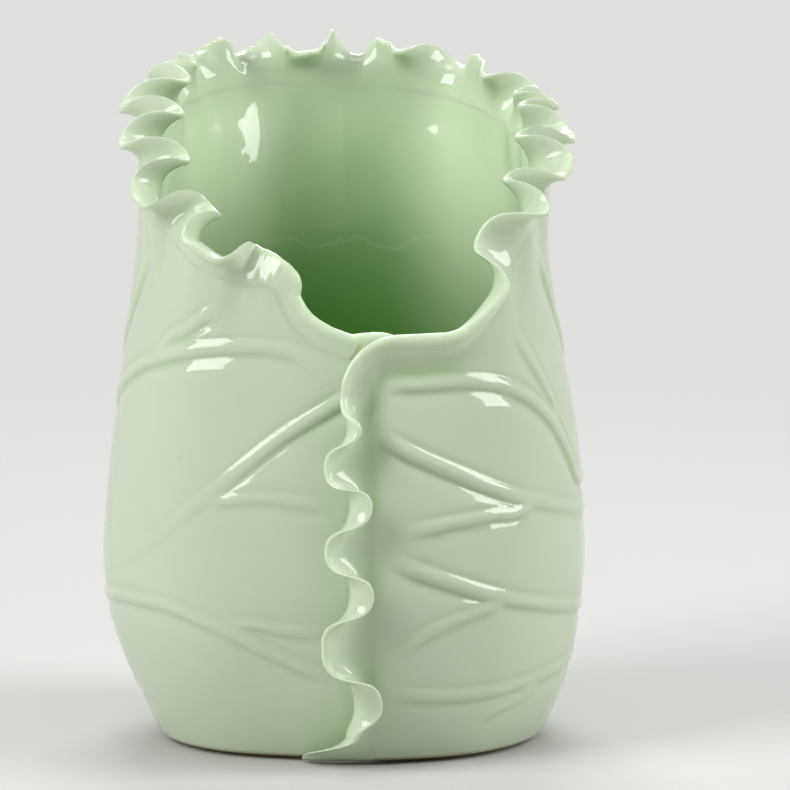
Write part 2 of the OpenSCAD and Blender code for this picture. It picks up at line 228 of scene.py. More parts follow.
# how strongly each vein stands out at its root and tip, its fork, and the share of its length where it grows
veinForce = {
    "rightRim": (0.7, 0.75, 0.5, 0.35), "rightLip": (0.75, 0.9, 0.5, 0.45),
    "rightShoulder": (0.38, 1.05, 0.85, 0.55), "rightBelly": (0.42, 1.0, 0.65, 0.5),
    "rightFoot": (0.5, 0.6, 0.4, 0.35), "leftRim": (0.5, 0.7, 0.5, 0.35), "leftLip": (0.8, 0.28, 0.55, 0.7),
    "leftShoulder": (0.12, 1.0, 0.4, 0.67), "leftBelly": (0.35, 0.55, 0.5, 0.35),
    "leftFoot": (0.5, 0.35, 0, 0.35), "backRight": (0.7, 0.7, 0.6, 0), "backLeft": (0.7, 0.7, 0.6, 0),
    "backFoot": (0.6, 0.5, 0.5, 0),
}
veinPaths = {
    "rightRim": [[170, 50], [145, 62], [115, 71], [92, 78], [78, 87], [70, 96], [66, 100]],
    "rightLip": [[166, 46], [140, 50], [110, 52], [88, 53], [76, 54], [70, 59.5], [63, 66], [55, 71],
                 [45.5, 75], [35, 76.8], [24, 77], [10, 77]],
    "rightShoulder": [[165, 41], [135, 41], [105, 44], [82, 47], [64, 49.8], [50, 52.5], [40, 55],
                      [28, 59.4], [17, 63.6], [9, 67.4]],
    "rightBelly": [[166, 36], [135, 31], [105, 28], [85, 27.5], [66, 29.3], [47, 32.4], [35.4, 35],
                   [27.4, 37.4], [19.7, 39.8], [12, 42.4]],
    "rightFoot": [[170, 32], [140, 21], [110, 18], [88, 18.3], [73, 17.2], [59.4, 16], [46.8, 14.8],
                  [34.4, 14.3], [23.8, 14.5], [11, 15.7]],
    "leftRim": [[190, 50], [215, 62], [245, 71], [268, 78], [282, 87], [290, 96], [294, 101]],
    "leftLip": [[194, 46], [220, 52], [250, 60], [272, 68], [286, 74], [294.6, 77], [301.7, 79.2],
                [316.5, 82.2], [329.8, 83.4], [344, 83], [354, 79.3]],
    "leftShoulder": [[195, 41], [225, 38], [255, 36], [278, 35.5], [291, 37], [305.5, 42.5], [317, 49.3],
                     [327, 55.7], [332, 59.1], [344, 66.4], [358, 72.7], [365, 75.6]],
    "leftBelly": [[194, 36], [225, 31], [255, 29], [278, 30], [290.7, 31.3], [302.6, 31.8],
                  [314.6, 31.2], [327.8, 27.8], [338.2, 23.9], [348.7, 20.3], [358, 17.3]],
    "leftFoot": [[190, 32], [220, 21], [250, 15], [280, 12], [298, 11]],
    "backRight": [[176, 53], [169, 74], [160, 92], [147, 108], [141, 117]],
    "backLeft": [[184, 53], [191, 74], [200, 92], [213, 108], [219, 117]],
    "backFoot": [[180, 28], [176, 16], [165, 8]],
}
forkPaths = {
    "rightRim": [[113, 75.2], [107, 90], [102, 108]],
    "rightLip": [[63.5, 70.2], [61.4, 72.6], [54.6, 80], [48.7, 86]],
    "rightShoulder": [[44.5, 50.3], [36.8, 50.4], [26.6, 49.5], [14, 47.7]],
    "rightBelly": [[35, 31.8], [25, 29.4], [18.3, 26.9], [11.5, 23.6]],
    "rightFoot": [[51, 11.9], [45.4, 11], [38, 9.2], [33, 7.6]],
    "leftRim": [[247, 75.2], [254, 90], [259, 108]],
    "leftLip": [[309, 84.2], [313.9, 86], [320.4, 89.4], [326, 91]],
    "leftShoulder": [[329.5, 53.2], [338.9, 54.1], [349.7, 53.4], [359, 52.7]],
    "leftBelly": [[335, 28.9], [341.9, 28.1], [350, 27.7], [357, 27.6]],
    "backRight": [[162.2, 96.8], [165, 109], [166, 120]],
    "backLeft": [[197.8, 96.8], [195, 109], [194, 120]],
    "backFoot": [[182, 18], [186, 13], [195, 8]],
}


def smoothPath(points, steps):
    # evenly eased curve through the points
    p = np.array(points, float)
    p = np.vstack([p[:1], p, p[-1:]])
    out = []
    for i in range(len(p) - 3):
        a, b, c, d = p[i:i + 4]
        t = np.arange(steps)[:, None] / steps
        out.append(b + ((c - a) + ((2 * a - 5 * b + 4 * c - d) + (3 * b - a - 3 * c + d) * t) * t) * t / 2)
    path = np.vstack(out + [p[-1:]])
    path[:, 1] = np.minimum(path[:, 1], rimHeight(path[:, 0]) - vein["clear"])
    return path


def veinRelief(a, z, points):
    # for each point: how high it stands on a vein (0 to 1), how deep in a groove, how deep in a dip
    total = np.full(len(points), 1e-9)
    forceSum, halfSum, lowSum = np.zeros((3, len(points)))
    for name, stem in veinPaths.items():
        stemPath = smoothPath(stem, vein["steps"])
        rootForce, tipForce, forkForce, onset = veinForce[name]
        lines = [(stemPath, vein["rootWidth"], rootForce, tipForce, onset)]
        if name in forkPaths:
            start = np.array(forkPaths[name][0])
            near = np.argmin(np.hypot(*((stemPath - start) * (vein["perDegree"], 1)).T))
            joined = [list(stemPath[max(near - vein["forkBack"], 0)])] + forkPaths[name]
            forkPath = smoothPath(joined, vein["steps"])
            lines.append((forkPath, vein["forkWidth"] * vein["rootWidth"], forkForce, forkForce, 0))
        for path, rootWidth, rootForce, tipForce, onset in lines:
            (left, bottom), (right, top) = path.min(0), path.max(0)
            where = np.flatnonzero((a > left - vein["aside"]) & (a < right + vein["aside"])
                                   & (z > bottom - vein["under"]) & (z < top + vein["above"]))
            line = place(path[:, 0], leafRadius(path[:, 0], path[:, 1]), path[:, 1])
            length = np.concatenate([[0], np.cumsum(np.linalg.norm(np.diff(line, axis=0), axis=1))])
            best = np.full(len(where), 1e9)
            along, below = np.zeros((2, len(where)))
            q = points[where]
            for k in range(len(line) - 1):
                step = line[k + 1] - line[k]
                t = np.clip((q - line[k]) @ step / (step @ step), 0, 1)
                off = line[k] + t[:, None] * step - q
                d = np.linalg.norm(off, axis=1)
                closer = d < best
                best[closer] = d[closer]
                below[closer] = off[closer, 2]
                along[closer] = (length[k] + t * (length[k + 1] - length[k]))[closer]
            share = along / length[-1]
            half = (rootWidth + (vein["tipWidth"] - rootWidth) * share) / 2
            tip = ramp((length[-1] - along) / vein["tipFade"] + vein["tipLeft"])
            ends = ramp(along / vein["rootFade"]) * tip
            weight = np.exp(-np.clip(best - half, -half, vein["most"]) / vein["blend"])
            total[where] += weight
            force = rootForce + (tipForce - rootForce) * ramp((share - onset) / vein["grow"])
            forceSum[where] += weight * ends * force
            halfSum[where] += weight * half
            lowSum[where] += weight * ramp(0.5 + below / (2 * half))
    outside = -vein["blend"] * np.log(total)
    depth = np.clip(-outside * total / np.maximum(halfSum, 1e-9), 0, 1)
    force = forceSum / total
    crest = (1 - (1 - depth) ** 2) ** vein["crestPower"]
    low = lowSum / total
    spread = np.where(outside > 0, vein["grooveSpread"], vein["grooveWidth"])
    lower = vein["upperGroove"] + (1 - vein["upperGroove"]) * low
    groove = np.exp(-(outside / spread) ** 2) * force * lower
    dip = np.exp(-(np.maximum(outside, 0) / vein["dipSpread"]) ** 2) * force * low * (1 - depth)
    return crest * force, groove, dip


def gridNormals(grid):
    # smooth normals of a grid of points
    return unit(np.cross(np.gradient(grid, axis=0), np.gradient(grid, axis=1)))


def makePiece(name, points, faces, normals, glazeMap, material):
    mesh = bpy.data.meshes.new(name)
    mesh.from_pydata((points * millimetre).tolist(), [], faces)
    mesh.polygons.foreach_set("use_smooth", [True] * len(mesh.polygons))
    if glazeMap is not None:
        layer = mesh.color_attributes.new("glazeMap", "FLOAT_COLOR", "POINT")
        layer.data.foreach_set("color", glazeMap.astype(np.float32).ravel())
    mesh.update()
    if normals is not None:
        mesh.normals_split_custom_set_from_vertices(normals.tolist())
    mesh.materials.append(material)
    piece = bpy.data.objects.new(name, mesh)
    scene.collection.objects.link(piece)
    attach(piece, "root")
    return piece


# Celadon glaze over white porcelain, dipped and fired: a deep, wet gloss over a milky pale green,
# whiter where the glaze runs thin over an edge and greener where it pools in a groove. In the well the
# deeper green is partly pooled glaze and partly painted shade, and its paler upper sides are partly painted
# light.
glaze = {
    # bare is the tan of the bare foot, and also the painted shade in the crevice by the lap
    "body": "#c7d5bb", "pool": "#a4bb90", "thin": "#d8e8c9", "well": "#7cb754", "bare": "#978550",
    "cloudSize": 14, "cloudShare": 0.12,      # soft clouds in the glaze, mm
    "cloudLow": 0.3, "cloudHigh": 0.7,        # range of the clouds that turns smooth into hazy
    "rippleSize": 3.5, "rippleHeight": 0.02,  # slow waves left by the melt, mm
    "speck": "#8b7c5e", "speckGap": 8, "speckSize": 0.2, "speckShare": 0.45,  # iron specks, mm
    "smooth": 0.03, "hazy": 0.06, "bareRoughness": 0.7, "ior": 1.52,
    "milk": 0.25, "milkDepth": 2.5,           # light that passes into the thin porcelain, mm
    # edge of the poured glaze inside, mm
    "tideHeight": 97, "tideWave": 18, "tideSize": 15, "tideOffset": 5, "tideLine": 0.6,
    "tideFrom": 20, "tideTo": 30, "tidePale": 0.25, "tideDeep": 0.05, "tideStep": 2.5,
    "wellFrom": 0.1, "wellTo": 0.25,          # depth in the well where that edge begins to show
}


def glazeMaterial():
    material, tree = newMaterial("celadonGlazeFired")
    spot = addNode(tree, "ShaderNodeTexCoord").outputs["Object"]
    layer = addNode(tree, "ShaderNodeVertexColor", {"layer_name": "glazeMap"})
    parts = addNode(tree, "ShaderNodeSeparateColor", inputs={"Color": layer.outputs["Color"]})
    clouds = addNode(tree, "ShaderNodeTexNoise", inputs={
        "Vector": spot, "Scale": 1 / (glaze["cloudSize"] * millimetre), "Detail": 3.0})
    cloudy = addNode(tree, "ShaderNodeMath", {"operation": "MULTIPLY_ADD"},
                     {0: clouds.outputs["Fac"], 1: 2 * glaze["cloudShare"], 2: -glaze["cloudShare"]})
    # pooled glaze; beside the lap and below the lip this share is partly painted shade
    poolAndShade = addNode(tree, "ShaderNodeMath", {"operation": "ADD", "use_clamp": True},
                     {0: parts.outputs["Green"], 1: cloudy.outputs[0]})
    body = addNode(tree, "ShaderNodeMix", {"data_type": "RGBA"}, {
        0: poolAndShade.outputs[0], 6: hexLinear(glaze["body"]), 7: hexLinear(glaze["pool"])})
    axes = addNode(tree, "ShaderNodeSeparateXYZ", inputs={"Vector": spot})
    along = addNode(tree, "ShaderNodeCombineXYZ", inputs={
        "X": axes.outputs["X"], "Y": glaze["tideOffset"] * millimetre, "Z": glaze["tideOffset"] * millimetre})
    wave = addNode(tree, "ShaderNodeTexNoise", inputs={
        "Vector": along.outputs[0], "Scale": 1 / (glaze["tideSize"] * millimetre), "Detail": 3.0})
    tide = addNode(tree, "ShaderNodeMath", {"operation": "MULTIPLY_ADD"}, {
        0: wave.outputs["Fac"], 1: glaze["tideWave"] * millimetre,
        2: (glaze["tideHeight"] - glaze["tideWave"] / 2) * millimetre})
    under = addNode(tree, "ShaderNodeMath", {"operation": "SUBTRACT"}, {
        0: tide.outputs[0], 1: axes.outputs["Z"]})
    away = addNode(tree, "ShaderNodeMath", {"operation": "ABSOLUTE"}, {0: under.outputs[0]})
    atBack = addNode(tree, "ShaderNodeMapRange", {"interpolation_type": "SMOOTHSTEP"}, {
        "Value": axes.outputs["Y"], "From Min": glaze["tideFrom"] * millimetre,
        "From Max": glaze["tideTo"] * millimetre})
    inWell = addNode(tree, "ShaderNodeMapRange", inputs={
        "Value": parts.outputs["Blue"], "From Min": glaze["wellFrom"], "From Max": glaze["wellTo"]})
    shown = addNode(tree, "ShaderNodeMath", {"operation": "MULTIPLY"}, {
        0: atBack.outputs[0], 1: inWell.outputs[0]})
    line = addNode(tree, "ShaderNodeMapRange", {"interpolation_type": "SMOOTHSTEP"}, {
        "Value": away.outputs[0], "From Max": glaze["tideLine"] * millimetre,
        "To Min": glaze["tidePale"], "To Max": 0.0})
    paleLine = addNode(tree, "ShaderNodeMath", {"operation": "MULTIPLY"}, {
        0: line.outputs[0], 1: shown.outputs[0]})
    step = addNode(tree, "ShaderNodeMapRange", {"interpolation_type": "SMOOTHSTEP"}, {
        "Value": under.outputs[0], "From Max": glaze["tideStep"] * millimetre,
        "To Max": glaze["tideDeep"]})
    deeper = addNode(tree, "ShaderNodeMath", {"operation": "MULTIPLY_ADD", "use_clamp": True}, {
        0: step.outputs[0], 1: shown.outputs[0], 2: parts.outputs["Blue"]})
    edged = addNode(tree, "ShaderNodeMix", {"data_type": "RGBA"}, {
        0: parts.outputs["Red"], 6: body.outputs[2], 7: hexLinear(glaze["thin"])})
    # the deeper green of the well, partly pooled glaze and partly painted shade
    wellGreenAndShade = addNode(tree, "ShaderNodeMix", {"data_type": "RGBA"}, {
        0: deeper.outputs[0], 6: edged.outputs[2], 7: hexLinear(glaze["well"])})
    inside = addNode(tree, "ShaderNodeMix", {"data_type": "RGBA"}, {
        0: paleLine.outputs[0], 6: wellGreenAndShade.outputs[2], 7: hexLinear(glaze["thin"])})
    ripple = addNode(tree, "ShaderNodeTexNoise", inputs={
        "Vector": spot, "Scale": 1 / (glaze["rippleSize"] * millimetre), "Detail": 1.0})
    bump = addNode(tree, "ShaderNodeBump", inputs={
        "Height": ripple.outputs["Fac"], "Strength": 1.0, "Distance": glaze["rippleHeight"] * millimetre})
    cells = addNode(tree, "ShaderNodeTexVoronoi", inputs={
        "Vector": spot, "Scale": 1 / (glaze["speckGap"] * millimetre)})
    dot = addNode(tree, "ShaderNodeMapRange", inputs={
        "Value": cells.outputs["Distance"], "From Min": 0.5 * glaze["speckSize"] / glaze["speckGap"],
        "From Max": glaze["speckSize"] / glaze["speckGap"], "To Min": glaze["speckShare"], "To Max": 0.0})
    specked = addNode(tree, "ShaderNodeMix", {"data_type": "RGBA"}, {
        0: dot.outputs[0], 6: inside.outputs[2], 7: hexLinear(glaze["speck"])})
    # bare clay at the foot, and painted shade in the crevice by the lap
    bareFootAndCreviceShade = addNode(tree, "ShaderNodeMix", {"data_type": "RGBA"}, {
        0: layer.outputs["Alpha"], 6: specked.outputs[2], 7: hexLinear(glaze["bare"])})
    haze = addNode(tree, "ShaderNodeMapRange", inputs={
        "Value": clouds.outputs["Fac"], "From Min": glaze["cloudLow"], "From Max": glaze["cloudHigh"],
        "To Min": glaze["smooth"], "To Max": glaze["hazy"]})
    dull = addNode(tree, "ShaderNodeMapRange", inputs={
        "Value": layer.outputs["Alpha"], "To Min": haze.outputs[0], "To Max": glaze["bareRoughness"]})
    shader = addNode(tree, "ShaderNodeBsdfPrincipled", inputs={
        "Base Color": bareFootAndCreviceShade.outputs[2], "Roughness": dull.outputs[0], "IOR": glaze["ior"],
        "Subsurface Weight": glaze["milk"], "Subsurface Radius": (1.0, 1.0, 1.0),
        "Subsurface Scale": glaze["milkDepth"] * millimetre, "Normal": bump.outputs["Normal"]})
    addNode(tree, "ShaderNodeOutputMaterial", inputs={"Surface": shader.outputs[0]})
    return material


# Porcelain left bare under the foot and wiped: chalky, warm white, with a fine grit
bareClay = {"body": "#d9cdb8", "stain": "#a88e6c", "gritSize": 1.2, "gritHeight": 0.05, "roughness": 0.85}


def bareClayMaterial():
    material, tree = newMaterial("bisquePorcelainWiped")
    spot = addNode(tree, "ShaderNodeTexCoord").outputs["Object"]
    grit = addNode(tree, "ShaderNodeTexNoise", inputs={
        "Vector": spot, "Scale": 1 / (bareClay["gritSize"] * millimetre), "Detail": 4.0})
    stained = addNode(tree, "ShaderNodeMix", {"data_type": "RGBA"}, {
        0: grit.outputs["Fac"], 6: hexLinear(bareClay["body"]), 7: hexLinear(bareClay["stain"])})
    bump = addNode(tree, "ShaderNodeBump", inputs={
        "Height": grit.outputs["Fac"], "Strength": 0.6, "Distance": bareClay["gritHeight"] * millimetre})
    shader = addNode(tree, "ShaderNodeBsdfPrincipled", inputs={
        "Base Color": stained.outputs[2], "Roughness": bareClay["roughness"],
        "Normal": bump.outputs["Normal"]})
    addNode(tree, "ShaderNodeOutputMaterial", inputs={"Surface": shader.outputs[0]})
    return material


celadon = glazeMaterial()
bisque = bareClayMaterial()
print("materials made")


# Columns stand closer where the lap's corner is rounded
span = cornerSpan()
quarter = 90 * np.arange(leaf["cornerColumns"]) / leaf["cornerColumns"]
cornerAngles = leaf["seamAngle"] + span * (1 - cosine(quarter))
fine = np.linspace(leaf["seamAngle"] + span, leaf["lapEnd"], 4000)
offFront = np.minimum(fine, 360 - fine)
crowd = np.cumsum(1 + leaf["frontShare"] * ramp((leaf["frontAngle"] - offFront) / leaf["frontFade"]))
crowd = (crowd - crowd[0]) / (crowd[-1] - crowd[0])
plainAngles = np.interp(np.linspace(0, 1, leaf["columns"] - leaf["cornerColumns"]), crowd, fine)
columnAngle = np.concatenate([cornerAngles, plainAngles])
rowShare = np.arange(leaf["rows"] + 1) / leaf["rows"]
angleGrid, shareGrid = np.meshgrid(columnAngle, rowShare, indexing="ij")
rimGrid = rimHeight(angleGrid)
heightGrid = leaf["footGap"] + (rimGrid - leaf["footGap"]) * shareGrid

# Soft forms on the leaf, mm: flutes under the rim, slow waves and the valley beside the lap's fluting
softForms = {
    "flute": 0.7, "fluteReach": 13, "fluteStart": 40, "fluteEnd": 352, "fluteFade": 12,
    "backAt": 178, "backSpread": 20, "backCalm": 0.5,       # lower flutes at the back
    "billow": 0.25, "billowFoot": 2, "billowFade": 12,
    "calmStart": 135, "calmEnd": 225, "calmFade": 25, "calm": 0.85,     # lower waves at the back
    "valley": 0.28, "elbow": 1.0, "valleyAt": 8.8, "valleySpread": 3.0,     # beside the lap, at its upper end
    "elbowStart": 50, "elbowFade": 17, "valleyFoot": 8, "valleyRise": 20, "valleyTop": 6,
    "lipGroove": 0.5, "lipDrop": 1.2, "lipSpread": 2.2,                     # crease below the lip
    "lipStart": 8, "lipRise": 3, "lipEnd": 26, "lipFade": 16,
}


def softForm(a, z, top):
    flute = softForms["flute"] * turnAt(rimTurns, a, 1) / 90 * ramp(1 - (top - z) / softForms["fluteReach"])
    flute = flute * within(a, softForms["fluteStart"], softForms["fluteEnd"], softForms["fluteFade"])
    atBack = np.exp(-((a - softForms["backAt"]) / softForms["backSpread"]) ** 2)
    billow = sine(3 * a + 2.2 * z) * cosine(2 * a - 4.1 * z + 40) + 0.6 * sine(7 * a - 3.4 * z)
    calm = within(a, softForms["calmStart"], softForms["calmEnd"], softForms["calmFade"])
    billow = billow * (1 - softForms["calm"] * calm)
    billow = billow * within(z, softForms["billowFoot"], top, softForms["billowFade"])
    return flute * (1 - softForms["backCalm"] * atBack) + softForms["billow"] * billow


def underLip(a, z):
    # 1 in the crease below the rolled lip, right of the lap
    across = np.exp(-((rimHeight(a) - z - softForms["lipDrop"]) / softForms["lipSpread"]) ** 2)
    start = ramp((a - softForms["lipStart"]) / softForms["lipRise"])
    return across * start * (1 - ramp((a - softForms["lipEnd"]) / softForms["lipFade"]))


def lapValley(a, z):
    across = np.exp(-((a - softForms["valleyAt"]) / softForms["valleySpread"]) ** 2)
    upper = ramp((z - softForms["elbowStart"]) / softForms["elbowFade"])
    deep = softForms["valley"] + (softForms["elbow"] - softForms["valley"]) * upper
    foot = ramp((z - softForms["valleyFoot"]) / softForms["valleyRise"])
    beside = deep * across * foot * ramp((rimHeight(a) - z) / softForms["valleyTop"])
    return beside + softForms["lipGroove"] * underLip(a, z)


def outerFace(a, z):
    # points of the leaf's outside with all its forms, and how far each is on a vein or in a groove
    flatA, flatZ = a.ravel(), z.ravel()
    relief = veinRelief(flatA, flatZ, place(flatA, leafRadius(flatA, flatZ), flatZ))
    crest, groove, dip = [form.reshape(a.shape) for form in relief]
    drop = np.clip(1 - (z - leaf["footGap"]) / leaf["footRound"], 0, 1)
    rounding = leaf["footRound"] * (1 - np.sqrt(1 - drop * drop))
    radius = leafRadius(a, z) + softForm(a, z, rimHeight(a)) - lapValley(a, z) - rounding
    radius = radius + vein["rise"] * crest - vein["groove"] * groove - vein["dip"] * dip
    return place(a, radius, z), crest, groove


outer, crest, groove = outerFace(angleGrid, heightGrid)
stepA, stepZ = 0.3, 0.25    # for the slope of the face, degrees and mm
acrossFace = outerFace(angleGrid + stepA, heightGrid)[0] - outerFace(angleGrid - stepA, heightGrid)[0]
upFace = outerFace(angleGrid, heightGrid + stepZ)[0] - outerFace(angleGrid, heightGrid - stepZ)[0]

# Inside: upright against the base, then an even wall, thinned at the end of the lap
innerPart = (slice(None, None, leaf["innerColumns"]), slice(None, None, leaf["innerEvery"]))
a, z, top = angleGrid[innerPart], heightGrid[innerPart], rimGrid[innerPart]
footStep = bellyLine(np.minimum(z, leaf["baseThick"])) - bellyLine(np.array(leaf["footGap"]))
fill = footStep * plan(a) * (1 - ramp((z - leaf["baseThick"]) / leaf["fillFade"]))
fill = np.where(a <= leaf["seamAngle"] + leaf["lapOver"], 0, fill)
thinned = leaf["thinBy"] * ramp((a - (leaf["lapEnd"] - leaf["thinSpan"])) / leaf["thinSpan"])
thinned = thinned * ramp((z - leaf["thinStart"]) / leaf["thinFade"])
inner = place(a, leafRadius(a, z) + softForm(a, z, top) - leaf["wall"] - fill + thinned, z)
print("leaf shaped:", outer.shape, inner.shape)


def wallFaces(n, m, innerN, innerM, normals):
    # outer grid n x m, split along its folds, coarser inner grid behind it, closed along all four edges
    o = np.arange(n * m).reshape(n, m)
    c = np.arange(innerN * innerM).reshape(innerN, innerM) + n * m
    p, q, r, s = o[:-1, :-1].ravel(), o[1:, :-1].ravel(), o[1:, 1:].ravel(), o[:-1, 1:].ravel()
    turned = np.sum(normals[p] * normals[r], -1) < np.sum(normals[q] * normals[s], -1)
    firstHalf = np.where(turned, [p, q, s], [p, q, r]).T
    otherHalf = np.where(turned, [q, r, s], [p, r, s]).T
    faces = np.vstack([firstHalf, otherHalf]).tolist()
    faces += np.stack([c[:-1, :-1], c[:-1, 1:], c[1:, 1:], c[1:, :-1]], -1).reshape(-1, 4).tolist()
    for outerEdge, innerEdge, every, flip in ((o[:, 0], c[:, 0], leaf["innerColumns"], False),
                                              (o[:, -1], c[:, -1], leaf["innerColumns"], True),
                                              (o[0], c[0], leaf["innerEvery"], True),
                                              (o[-1], c[-1], leaf["innerEvery"], False)):
        for j in range(len(innerEdge) - 1):
            face = outerEdge[j * every:(j + 1) * every + 1][::-1].tolist() + innerEdge[j:j + 2].tolist()
            faces.append(face[::-1] if flip else face)
    return faces


# The fluting: a strip along the lap and the rim, thin at its free edge
fluting = {
    "width": 10, "edge": 1.5, "lipEdge": 2.5, "steps": 12, "capSteps": 8, "split": 3,
    "fan": 4.5, "lapFan": 17, "fanFoot": 6, "fanRise": 10, "fanMost": 2.2, "lapLean": 112,
    "lipRise": 12, "lipEnd": 38, "lipFade": 10, "lipAgain": 334, "lipAgainFade": 8,   # the plain lip
    "backStart": 125, "backEnd": 240, "backFade": 15,
    "lapMelt": 0.6, "meltReach": 0.75, "creaseFill": 90, "creaseEnd": 0.8,   # folds melt into the wall
    "cornerEase": 2, "runSmooth": 6, "fanSmooth": 8,
}


def stripGrid(o, c, run, lean, width, edge, fan):
    # one arc for each station: out along the outer face, round the edge, back along the inner face
    thickBase = np.linalg.norm(o - c, axis=1, keepdims=True)
    mid, n = (o + c) / 2, unit(o - c)
    s = unit(np.cross(n, run))
    edge = edge[:, None]
    reach = width[:, None] - edge / 2
    bend = np.where(np.abs(lean) < 1, 1, lean)[:, None]
    rows, t = [], np.arange(fluting["steps"] + 1) / fluting["steps"]

    def section(share):
        turned = bend * share
        ahead = reach * (sine(turned) / np.radians(bend) * s + (1 - cosine(turned)) / np.radians(bend) * n)
        ahead = ahead + share ** 1.5 * fan[:, None] * run
        return mid + ahead, cosine(turned) * n - sine(turned) * s, cosine(turned) * s + sine(turned) * n

    for share in t:
        centre, normal, _ = section(share)
        thick = thickBase + (edge - thickBase) * math.sin(math.pi / 2 * share)
        rows.append((centre, normal * thick / 2))
    centre, normal, forward = section(1)
    cap = np.arange(1, fluting["capSteps"]) * 180 / fluting["capSteps"]
    grid = [centre + half for centre, half in rows]
    grid += [centre + edge / 2 * (cosine(k) * normal + sine(k) * forward) for k in cap]
    grid += [centre - half for centre, half in reversed(rows)]
    share = list(t) + [1] * len(cap) + list(t[::-1])
    return np.stack(grid, 1), np.array(share)


def between(line, split):
    # adds even points on the straight lines between columns
    x = np.arange((len(line) - 1) * split + 1) / split
    i = np.minimum(x.astype(int), len(line) - 2)
    return line[i] + (line[i + 1] - line[i]) * (x - i)[:, None]


seamOuter = outer[0]
seamInner = between(inner[0], leaf["innerEvery"])
rimOuter = between(outer[:, -1], fluting["split"])
innerSplit = fluting["split"] * leaf["innerColumns"]
rimInner = between(inner[:, -1], innerSplit)
stationAngle = between(columnAngle[:, None], fluting["split"])[:, 0]
baseLine = np.vstack([(seamOuter + seamInner)[:-1], rimOuter + rimInner]) / 2
run = unit(np.gradient(baseLine, axis=0))
for _ in range(fluting["runSmooth"]):
    run[1:-1] = unit(run[:-2] + 2 * run[1:-1] + run[2:])
seamShare = seamOuter[:-1, 2] / (leaf["rimFront"] - leaf["cornerRadius"])
lean = np.concatenate([turnAt(seamTurns, seamShare, 1), turnAt(rimTurns, stationAngle, 1)])
width = np.concatenate([turnAt(seamTurns, seamShare, 2), turnAt(rimTurns, stationAngle, 2)])
# each lobe spreads sideways towards its edge, so that its neighbours fold under it
stretch = np.maximum(np.linalg.norm(np.gradient(baseLine, axis=0), axis=1), 1e-6)
onLap = np.arange(len(lean)) < len(seamShare)
turned = (lean - np.where(onLap, fluting["lapLean"], 0)) / 90
lapFoot = ramp((baseLine[:, 2] - fluting["fanFoot"]) / fluting["fanRise"])
spread = np.where(onLap, fluting["lapFan"] * lapFoot, fluting["fan"])
fan = -spread * turned * np.gradient(turned) / stretch
fan = np.clip(fan, -fluting["fanMost"], fluting["fanMost"])
for _ in range(fluting["fanSmooth"]):
    fan[1:-1] = (fan[:-2] + 2 * fan[1:-1] + fan[2:]) / 4
# the plain lip at the front has a thicker, rounder edge
lip = ramp((stationAngle - leaf["seamAngle"]) / fluting["lipRise"])
lip = lip * (1 - ramp((stationAngle - fluting["lipEnd"]) / fluting["lipFade"]))
lip = lip + ramp((stationAngle - fluting["lipAgain"]) / fluting["lipAgainFade"])
lip = np.concatenate([np.zeros(len(seamShare)), lip])
edge = fluting["edge"] + (fluting["lipEdge"] - fluting["edge"]) * lip
strip, stripShare = stripGrid(np.vstack([seamOuter[:-1], rimOuter]), np.vstack([seamInner[:-1], rimInner]),
                              run, lean, fluting["width"] * width, edge, fan)
seamCount = len(seamOuter)
print("fluting shaped:", strip.shape)

# The well: how its sides catch the light, and shares of thin glaze and of the deeper green, which are partly
# painted light and shade
well = {
    "flare": 0.26, "rightFlare": 0.48, "flareRise": 0.06, "flareEnd": 0.08, "flareFade": 0.25,
    "turn": 14, "leftStart": 12, "leftRise": 14, "rightRise": 25, "turnEnd": 60, "turnFade": 30,
    "thin": 1.0, "backThin": 0.1, "thinDepth": 0.6,
    "leftSide": 193, "leftFade": 20, "rightSide": 171, "rightFade": 28,     # where the back turns into a side
    "rimShare": 0.2, "fullDepth": 0.63, "litSideShare": 0.86, "sideDepth": 0.24, "sideFade": 0.4,
    "floorPale": 0.55, "floorStart": 0.42, "floorFade": 0.38,               # paler again towards the floor
}

# Normals meet along the joints, so the glaze runs on without a line
outerNormal, innerNormal = unit(np.cross(acrossFace, upFace)), -gridNormals(inner)
# shading only: the sides of the well catch the light as if they leaned out and turned early to the back
depth = np.clip((top - z) / (top - leaf["baseThick"]), 0, 1)
flare = well["flare"] * np.where(a < 180, well["rightFlare"], 1) * ramp(depth / well["flareRise"])
flare = flare * (1 - ramp((depth - well["flareEnd"]) / well["flareFade"]))
offBack = np.abs(a - 180)
leftRise = ramp((offBack - well["leftStart"]) / well["leftRise"])
rise = np.where(a > 180, leftRise, ramp(offBack / well["rightRise"]))
rise = rise * (1 - ramp((offBack - well["turnEnd"]) / well["turnFade"]))
turn = well["turn"] * np.sign(a - 180) * rise
innerNormal = np.stack([innerNormal[..., 0] * cosine(turn) - innerNormal[..., 1] * sine(turn),
                        innerNormal[..., 0] * sine(turn) + innerNormal[..., 1] * cosine(turn),
                        innerNormal[..., 2] + flare], -1)
innerNormal = unit(innerNormal)
stripNormal = gridNormals(strip)
outward = np.sum(stripNormal[:, :1] * (strip[:, :1] - strip[:, -1:]), -1, keepdims=True)
stripNormal = stripNormal * np.sign(outward)
seamWall = np.vstack([outerNormal[0][:-1], between(outerNormal[:, -1], fluting["split"])])
seamWallIn = np.vstack([between(innerNormal[0], leaf["innerEvery"])[:-1],
                        between(innerNormal[:, -1], innerSplit)])
stripNormal[:, 0] = unit(stripNormal[:, 0] + unit(seamWall))
stripNormal[:, -1] = unit(stripNormal[:, -1] + unit(seamWallIn))
